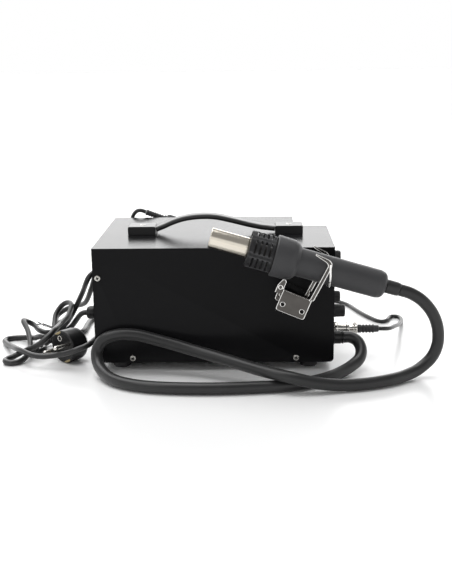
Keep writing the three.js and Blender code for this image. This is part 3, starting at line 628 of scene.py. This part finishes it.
def strap():
    """The carrying strap: a thick band with rolled edges, narrowed where it is clamped."""
    line = smooth_line([Vector((x, 0, z)) for x, z in STRAP_LINE], 8)
    mesh = bmesh.new()
    rows = []
    for index, point in enumerate(line):
        ahead = line[min(index + 1, len(line) - 1)] - line[max(index - 1, 0)]
        up = Vector((-ahead.z, 0, ahead.x)).normalized()
        share = index / (len(line) - 1)
        pinch = 1 - 0.12 * math.exp(-((share - 0.93) / 0.03) ** 2)
        pinch -= 0.08 * math.exp(-((share - 0.05) / 0.03) ** 2)
        row = []
        for step in range(32):
            angle = 2 * math.pi * step / 32
            across = 8.5 * pinch * math.copysign(abs(math.cos(angle)) ** 0.35, math.cos(angle))
            thick = 2.8 * math.copysign(abs(math.sin(angle)) ** 0.6, math.sin(angle))
            place = point + Vector((0, across + STRAP_Y, 0)) + up * thick
            row.append(mesh.verts.new(place * MM))
        rows.append(row)
    bridge_rows(mesh, rows)
    mesh.faces.new(rows[0])
    mesh.faces.new(rows[-1])
    stand_for(finished(mesh, "carrying_strap", strap_vinyl, matrix=CASE_FRAME), "handle_strap")


def top_details():
    """A blank paper label, and the screw that holds each end of the strap."""
    top = CASE["top"]
    label = block("blank_label", (86.5, 27, top + 0.02), (122, 93, top + 0.16), paper, ease=0.05)
    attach(label, STATION)
    for name, x in (("strap_screw_rear", -79), ("strap_screw_front", 79)):
        place = placed(x, STRAP_Y, top + GAP + 7.6, -90)
        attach(screw(name, place, 3.2, 1.5), STATION)


# ------------------------------------------------------------------ front and rear fittings
def knobs():
    places = {"air_flow": (0, 100), "hot_air_heat": (-60, 54.6), "iron_heat": (0, 54.6)}
    profile = [(0, 3.3), (0, 7.2), (1.6, 7.2), (2.2, 6.9), (12.2, 6.5), (13.4, 5.6), (13.3, 4.6),
               (13, 0), (9.6, 0), (9.6, 3.3), (0, 3.3)]
    for name, (y, z) in places.items():
        place = placed(122.8, y, z)
        cap = lathe(f"{name}_cap", profile, moulding, place, 144, 0.35,
                    fluted(24, 0.35, 2.5, 12.1))
        stand_for(cap, f"{name}_knob")
        mark = block(f"{name}_pointer", (12.9, -0.4, 2), (13.45, 0.4, 5.6), white_mark, place, 0.1)
        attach(mark, BODY_OF[f"{name}_knob"])


def ribs(start, pitch, count, tall, low):
    """Stations and radii of a row of ribs along a boot."""
    profile = []
    for index in range(count):
        x = start + index * pitch
        profile += [(x, tall), (x + pitch * 0.55, tall), (x + pitch * 0.6, low),
                    (x + pitch * 0.95, low)]
    return profile


def iron_connector():
    """A round metal socket with a screwed coupling nut, a clamp and a ribbed boot."""
    y, z = SOCKET
    front = PANEL + GAP
    hexagon = lathe("panel_nut", [(0, 5.3), (0, 8), (2.4, 8), (2.4, 5.3), (0, 5.3)], nickel,
                    placed(front, y, z), 6, 0.3)
    barrel = lathe("socket_barrel", [(-12.3, 4.2), (-12.3, 5.1), (11, 5.1), (11, 4.2),
                                     (-12.3, 4.2)], nickel, placed(front, y, z), 48, 0.2)
    stand_for(fused("iron_socket_metal", [barrel, hexagon]), "iron_socket")
    nut_profile = [(0, 5.4), (0, 7), (1, 7.4), (3, 7.4), (3.4, 6.9), (12.4, 6.9), (12.8, 7.4),
                   (15.4, 7.4), (16, 6.6), (16, 4.7), (8.6, 4.7), (8.6, 5.4), (0, 5.4)]
    nut = lathe("coupling_nut", nut_profile, nickel, placed(127, y, z), 96, 0.25)
    stand_for(nut, "plug_nut")
    shell = lathe("connector_shell", [(0, 0), (0, 3.9), (3.4, 3.9), (3.4, 4.5), (15, 4.5),
                                      (15, 4.9), (16.4, 4.9), (16.7, 4.4), (17.3, 4.4),
                                      (17.6, 4.9), (20.2, 4.9), (20.2, 0)],
                  nickel, placed(131.4, y, z), 64, 0.2)
    clamp = block("clamp", (147.2, y - 2.2, z - 5.6), (151.2, y + 2.2, z + 6.4), nickel, ease=0.4)
    heads = [lathe("head", [(0, 0), (0, 1.3), (0.8, 1.3), (0.9, 0.6), (0.5, 0)], nickel,
                   placed(149.2, y, z + 6.2, -90), 24, 0.15)]
    stand_for(fused("connector_shell", [shell, clamp, *heads]), "plug_shell")
    boot_profile = [(0, 0), (0, 4.4), *ribs(1.6, 3.4, 5, 4.4, 3.7), (22.2, 3.5), (22.2, 2.3),
                    (21.6, 0)]
    boot = lathe("connector_boot", boot_profile, grip_rubber, placed(152.2, y, z), 48, 0.25)
    stand_for(boot, "plug_boot")


def glands():
    """The hose's nipple on the front panel and the mains lead's bush on the rear one."""
    profile = [(-9, 3.4), (-9, 5.1), (0.3, 5.1), (0.3, 7.8), (2.9, 7.8), (3.3, 6.8),
               (9.5, 6.8), (10, 6.3), (10.6, 6.3), (11, 6.8), (12.5, 6.6), (12.5, 3.4),
               (-9, 3.4)]
    front = lathe("hose_nipple", profile, moulding, placed(PANEL, *GLAND), 72, 0.25,
                  fluted(8, 0.3, 0.4, 2.8))
    stand_for(front, "hose_gland")
    profile = [(-10, 0), (-10, 5.1), (0.3, 5.1), (0.3, 7.4), (15, 7.4), (15.6, 7), (16, 7.4),
               (20.5, 7.4), (23.2, 6.2), (23.9, 5), (23.9, 3.2), (22.9, 0)]
    rear = lathe("mains_bush", profile, moulding, placed(-PANEL, *INLET, 180, "Z"), 64, 0.4)
    stand_for(rear, "mains_gland")


# ------------------------------------------------------------------ hot-air gun
SLOT_TURN = 10  # steps of 3.75 degrees, so that one row of slots faces the near side


def collar():
    """The ventilated collar: a tube with six rows of four slots, made thick."""
    stations = [0, 0.6, 4.8, 6.8, 9.7, 11.7, 14.6, 16.6, 19.5, 21.5, 25, 25.3]
    sides, radius = 96, 18.2
    mesh = bmesh.new()
    rows = []
    for station in stations:
        r = radius - (0.5 if station in (0, 25.3) else 0)
        rows.append([
            mesh.verts.new((station * MM, r * math.cos(a) * MM, r * math.sin(a) * MM))
            for a in (2 * math.pi * i / sides for i in range(sides))
        ])
    slot_rows = (2, 4, 6, 8)
    for k, (one, two) in enumerate(zip(rows, rows[1:])):
        for i in range(sides):
            from_middle = (i - SLOT_TURN + 8) % 16 - 8
            if k in slot_rows and -6 <= from_middle < 6:
                continue
            j = (i + 1) % sides
            mesh.faces.new((one[i], one[j], two[j], two[i]))
    bmesh.ops.solidify(mesh, geom=mesh.faces[:], thickness=2.4 * MM)
    shell = finished(mesh, "shell", soft_plastic, matrix=GUN_FRAME, sharp=30)
    lip = lathe("lip", [(0.2, 11.2), (0.2, 12.6), (1.8, 12.9), (1.8, 17.6), (2.4, 17.6),
                        (2.4, 11.2), (0.2, 11.2)], soft_plastic, GUN_FRAME, 96, 0.2)
    disc = lathe("disc", [(22, 10.4), (22, 16.4), (25.2, 16.4), (25.2, 10.4), (22, 10.4)],
                 soft_plastic, GUN_FRAME, 96, 0.2)
    ease = shell.modifiers.new("eased slots", "BEVEL")
    ease.width = 0.25 * MM
    ease.segments = 2
    ease.limit_method = "ANGLE"
    ease.angle_limit = math.radians(40)
    stand_for(shell, "gun_collar")
    for piece, name in ((lip, "collar_mouth"), (disc, "collar_disc")):
        piece.name = name
        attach(piece, GUN)


def hot_air_gun():
    collar()
    lathe_gun("nozzle_tube", [(-38.8, 8.8), (-39, 9.4), (-38.6, 10.1), (-37.6, 10), (4.6, 10),
                              (4.6, 8.7), (-38.2, 8.7), (-38.8, 8.8)], nozzle_steel, "gun_nozzle")
    # The heater core carries painted shade: its near-black colour stands for the shade inside the
    # collar.
    lathe_gun("heater_core", [(-30, 0), (-30, 6), (-28, 7.6), *ribs(-26, 6, 9, 7.6, 7), (30, 7.6),
                              (30, 0)], mica_painted_shade, "gun_heater")
    lathe_gun("gun_grip", [(25.6, 20.1), (26.6, 20.8), (43, 20), (47, 18.7), (49.4, 16),
                           (50.6, 14.4), (53, 14.3), (132, 14.1), (136.6, 12.9), (139, 10.4),
                           (139.8, 7.4), (139.8, 6.2), (137, 6.2), (131, 11.4), (52, 11.6),
                           (45, 17.6), (25.6, 17.6), (25.6, 20.1)], soft_plastic, "gun_handle", 0.9)
    lathe_gun("hose_collar", [(140.1, 2.6), (140.1, 6.6), (141, 6.9), (151, 6.9), (154, 6.4),
                              (154, 2.6), (140.1, 2.6)], rubber, "hose_sleeve", 0.6)


def lathe_gun(name, profile, material, node, ease=0.3):
    stand_for(lathe(name, profile, material, GUN_FRAME, 96, ease), node)


# ------------------------------------------------------------------ hangers
def hanger(name, node, x, z, size, outer, inner, cradle, extras=()):
    """A bent chromed bracket: a web over two hanging plates, two arms, and a wire cradle."""
    place = placed(x, 0, z, 22.6)
    w, d, thick = 29 * size, 21 * size, 1.2
    edge = softened([(0, 0.2), (0, -d), (w, -d), (w, 0.2)], 2.2)
    holes = [circle(hole, -0.67 * d, 2.1) for hole in (4.4, w - 4.4)]
    arm = [(27, -1), (29, -1), (30.8, 0.4), (34, 37.4), (33, 41), (29.4, 43.2), (15.6, 44),
           (15.2, 43), (27.6, 40.4), (30, 38.8), (30.8, 37), (27.6, 1), (27, 0)]
    arm = softened([(px * size, pz * size) for px, pz in arm], 1.2, closed=True)
    pieces = []
    for y in (outer, inner):
        # The plates and arms take the chrome with a painted dark reflection.
        pieces.append(plate("flange", [edge, *holes], y, y + thick, chrome_painted_dark_reflection, place))
        pieces.append(plate("arm", [arm], y, y + thick, chrome_painted_dark_reflection, place))
        face = y if y < 0 else y + thick
        for line in (edge, [*arm, arm[0]]):
            rim = [(px, face, pz) for px, pz in line]
            pieces.append(wire("rim", rim, 0.42, chrome, place, 10, 2))
        for hole in (4.4, w - 4.4):
            ring = [(px, face, pz) for px, pz in circle(hole, -0.67 * d, 2.3)]
            pieces.append(wire("eyelet", [*ring, ring[0]], 0.38, chrome, place, 10, 2))
    low_y, high_y = min(outer, inner), max(outer, inner) + thick
    pieces.append(block("web", (0, low_y, -thick), (w, high_y, 0.2), chrome, place, 0.55))
    pieces.append(wire("cradle", cradle, 1.2, chrome, place, 20))
    pieces += [build(place) for build in extras]
    stand_for(fused(name, pieces), node)


def gun_ear(place):
    outline = [(0.5, -5.3), (0.5, -0.4), (-0.8, 0.4), (-0.8, 8), (-2.4, 9.4), (-4.4, 9),
               (-7, 3), (-7, -5.3)]
    ear = softened(outline, 1.2, closed=True)
    # The ear takes the chrome with a painted dark reflection.
    return plate("ear", [ear], -134.6, -133.4, chrome_painted_dark_reflection, place)


def gun_ear_rim(place):
    outline = [(-0.8, 0.4), (-0.8, 8), (-2.4, 9.4), (-4.4, 9), (-7, 3), (-7, -5.3)]
    rim = [(x, -134.6, z) for x, z in softened(outline, 1.2)]
    return wire("ear_rim", rim, 0.42, chrome, place, 10, 2)


def gun_rivet(place):
    head = shifted(place, -3.9, -134.5, 1, -90, "Z")
    return lathe("rivet", [(-1.6, 0), (-1.6, 2.5), (0.5, 2.5), (0.8, 2.1), (0.5, 1.5), (0, 1.3),
                           (-0.4, 0)], chrome, head, 40, 0.2)


def hangers():
    outer = -134.6
    inner = -CASE["half_y"] - GAP - 1.2
    cradle = [(32.2, outer + 0.6, 39.6), (34.4, outer + 0.5, 34), (36.8, -133.9, 28.5),
              (38.7, -131.1, 22.3), (40.3, -125.6, 17.2), (41, -117, 15.1),
              (40.3, -108.4, 17.2), (38.7, -102.4, 22.3), (36.8, -98.6, 28.5),
              (34.4, -95.6, 34), (32.2, inner + 0.6, 39.6)]
    hanger("gun_bracket", "gun_hanger", 70.2, 95.6, 1, outer, inner, cradle,
           (gun_ear, gun_ear_rim, gun_rivet))
    inner = CASE["half_y"] + GAP
    outer = 116.4
    cradle = [(23.2, outer + 0.6, 28.5), (24.6, outer + 0.4, 25), (25.6, 114.7, 21),
              (26.2, 111.6, 17.6), (26.4, 106, 16.2), (26.2, 100.4, 17.6), (25.6, 97, 21),
              (24.6, 95.4, 25), (23.2, inner + 0.6, 28.5)]
    hanger("iron_bracket", "iron_hanger", -52, 95, 0.72, outer, inner, cradle)
    for name, place, turn in (
        ("gun", placed(70.2, -CASE["half_y"] - GAP - 1.2, 95.6, 22.6), -90),
        ("iron", placed(-52, CASE["half_y"] + GAP + 1.2, 95, 22.6), 90),
    ):
        size = 1 if name == "gun" else 0.72
        for number, x in enumerate((4.4, 29 * size - 4.4)):
            head = shifted(place, x, 0, -14.07 * size, turn, "Z")
            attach(screw(f"{name}_bracket_screw_{number + 1}", head, 3, 1.3), STATION)


# ------------------------------------------------------------------ soldering iron
def soldering_iron():
    boot = [(0, 2.3), (0, 3.2), *ribs(1, 3, 7, 3.4, 2.8), (22.5, 4), (24.6, 4.3), (25, 3.9),
            (25, 2.3), (0, 2.3)]
    grip = [(25.3, 0), (25.3, 5.4), (28, 6.6), (44, 7.3), (80, 7.4), (104, 6.6), (112, 6.8),
            (116, 8.8), (119, 8.8), (120.5, 7), (120.5, 0)]
    nut = [(120.8, 0), (120.8, 6), (122, 6.2), (122.4, 5.8), (126, 5.6), (128, 5.2), (128, 0)]
    barrel = [(128.3, 0), (128.3, 3.4), (131, 3.4), (131.3, 3.1), (132, 3.1), (132.3, 3.4),
              (170, 3.1), (171, 2.5), (171, 0)]
    tip = [(171.3, 0), (171.3, 2.2), (178, 2.2), (192.4, 0.45), (193, 0)]
    turned = [
        ("iron_strain_boot", boot, grip_rubber, "iron_boot", None),
        ("iron_handle", grip, grip_rubber, "iron_grip", fluted(14, 0.7, 46, 103)),
        ("iron_collet", nut, nickel, "iron_nut", fluted(20, 0.35, 122.5, 126)),
        ("iron_shaft", barrel, nickel, "iron_barrel", None),
        ("soldering_tip", tip, tip_plating, "iron_tip", None),
    ]
    for name, profile, material, node, warp in turned:
        stand_for(lathe(name, profile, material, IRON_FRAME, 112, 0.3, warp), node)


# ------------------------------------------------------------------ mains plug
PLUG_RADIUS = 17.5


def thumb_grips(along, radius, angle):
    """The two shallow flats where the plug is held."""
    if not -20 < along < -3 or radius < PLUG_RADIUS - 1:
        return radius
    reach = max(0, abs(math.cos(angle)) - 0.75) * 4
    return radius - 0.9 * reach * (1 - abs(along + 11.5) / 9)


def slimmed(along, radius, angle):
    """The taper of the strain relief towards the lead."""
    return radius * (1 - 0.012 * max(0, along - 20))


def mains_plug():
    """A moulded round plug with side entry, two pins, earth clips and an earth hole."""
    radius, depth = PLUG_RADIUS, 24
    body = lathe("body", [(-depth, 0), (-depth, 12.5), (-depth + 1, radius - 3.2),
                          (-depth + 4, radius - 0.8), (-depth + 8, radius), (-0.8, radius),
                          (0, radius - 0.8), (0, 15.2), (-0.7, 14.9), (-0.7, 0)],
                 moulding, PLUG_FRAME, 128, 0.6, thumb_grips)
    neck_frame = shifted(PLUG_FRAME, -12, 0, 0, -90, "Z")
    shoulder = lathe("shoulder", [(10, 0), (10, 9), (16, 8.6), (19, 6.6), (20, 5.6), (20, 0)],
                     moulding, neck_frame, 64, 1.2)
    fused_body = fused("plug_body", [body, shoulder])
    relief = lathe("plug_relief", [(19.4, 0), (19.4, 5.4), *ribs(20.4, 3.6, 6, 5.1, 4.3),
                                   (42.4, 4), (43.5, 3.6), (43.5, 0)], moulding, neck_frame, 64,
                   0.3, slimmed)
    stand_for(fused_body, "mains_plug")
    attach(relief, STATION)
    roll = PLUG_FRAME @ Matrix.Rotation(math.radians(25), 4, "X")
    pins = [lathe("pin", [(-0.6, 0), (-0.6, 2.4), (17.4, 2.4), (18.6, 1.9), (19.3, 1.1),
                          (19.3, 0)], nickel, shifted(roll, 0, side * 9.5, 0), 40, 0.4)
            for side in (-1, 1)]
    stand_for(fused("plug_pins", pins), "plug_pin_1", "plug_pin_2")
    clips = []
    for side in (-1, 1):
        outer = side * 15.6
        clips.append(block("clip", (-5, -4.6, outer - 0.8), (0.5, 4.6, outer + 0.8), brass,
                           roll, 0.4))
        clips.append(block("spring", (-4, -3, outer - 1.4), (0.2, 3, outer - 0.7), brass,
                           roll, 0.2))
    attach(fused("earth_clips", clips), STATION)
    hole = lathe("earth_hole", [(-6, 2.3), (-6, 3.2), (0.2, 3.2), (0.5, 2.8), (0.2, 2.3),
                                (-6, 2.3)], nickel, shifted(roll, 0, 0, 9.5), 48, 0.15)
    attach(hole, STATION)


def twist_tie():
    """A coated wire tie that holds the folded mains lead, with twisted ends."""
    middle, tilt = Vector((-183, 7, 18.5)), math.radians(40)
    along = Vector((-0.42, 0.8, -0.42)).normalized()
    across = Vector((0.75 * math.cos(tilt), 0.1, 0.9)).normalized()
    across = (across - across.dot(along) * along).normalized()
    loop = []
    for step in range(25):
        angle = 2 * math.pi * step / 24 + 0.5
        loop.append(middle + 23 * math.cos(angle) * along + 9 * math.sin(angle) * across)
    pieces = [wire("loop", loop, 0.7, vinyl, sides=10)]
    start = loop[0]
    for sign in (-1, 1):
        tail = [start]
        for step in range(1, 15):
            turn = step * 1.1 + (0 if sign > 0 else math.pi)
            reach = start + Vector((-0.9, 0.2, 0.25)) * step
            tail.append(reach + 1.0 * Vector((0, math.cos(turn), math.sin(turn))))
        tail.append(tail[-1] + Vector((-6, sign * 2, 1.5 + sign)))
        pieces.append(wire("tail", tail, 0.6, vinyl, sides=8, per_span=4))
    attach(fused("twist_tie", pieces), STATION)


# ------------------------------------------------------------------ light and floor
def area_light(name, place, aim, size, power):
    data = bpy.data.lights.new(name, "AREA")
    data.energy = power
    data.shape = "RECTANGLE"
    data.size, data.size_y = size
    light = bpy.data.objects.new(name, data)
    light.location = place
    light.rotation_euler = (Vector(aim) - Vector(place)).to_track_quat("-Z", "Y").to_euler()
    bpy.context.scene.collection.objects.link(light)


BACKDROP_TOP = (0.36, 0.5)  # sines of the heights between which the backdrop fades
CEILING = 0.3


def studio_sky():
    """A white backdrop that ends a little above the horizon, under a dimmer ceiling."""
    world = bpy.data.worlds.new("studio")
    bpy.context.scene.world = world
    world.use_nodes = True
    nodes, links = world.node_tree.nodes, world.node_tree.links
    place = nodes.new("ShaderNodeTexCoord")
    parts = nodes.new("ShaderNodeSeparateXYZ")
    fade = nodes.new("ShaderNodeMapRange")
    fade.interpolation_type = "SMOOTHSTEP"
    fade.inputs["From Min"].default_value = BACKDROP_TOP[0]
    fade.inputs["From Max"].default_value = BACKDROP_TOP[1]
    fade.inputs["To Min"].default_value = 1.0
    fade.inputs["To Max"].default_value = CEILING
    links.new(place.outputs["Generated"], parts.inputs["Vector"])
    links.new(parts.outputs["Z"], fade.inputs["Value"])
    links.new(fade.outputs["Result"], nodes["Background"].inputs["Strength"])
    nodes["Background"].inputs["Color"].default_value = (1, 1, 1, 1)


def stage():
    studio_sky()
    mesh = bmesh.new()
    bmesh.ops.create_grid(mesh, x_segments=1, y_segments=1, size=12)
    floor_finish = surface("floor_sheet", (0.9, 0.9, 0.9), 0.3, specular=0.35, tone=0.01,
                           patch=2, grain=300, bump=0.01)
    finished(mesh, "floor", floor_finish)
    overhead = bpy.data.lights.new("overhead", "SUN")
    overhead.energy = 2.5
    overhead.angle = math.radians(60)
    lamp = bpy.data.objects.new("overhead", overhead)
    lamp.rotation_euler = Vector((0.25, -0.3, -1)).to_track_quat("-Z", "Y").to_euler()
    bpy.context.scene.collection.objects.link(lamp)
    area_light("key", (-0.8, -0.8, 1.2), (0, 0, 0.05), (0.7, 0.7), 3)
    area_light("rear_softbox", (0, 2.6, 0.95), (0, 0, 0.1), (3.4, 1), 27)
    bpy.context.scene.view_settings.view_transform = "Standard"


add_camera()
mains_plug()
twist_tie()
iron_connector()
glands()
cords()
carried_over()
cover_screws()
feet()
strap()
top_details()
knobs()
hot_air_gun()
hangers()
soldering_iron()
stage()
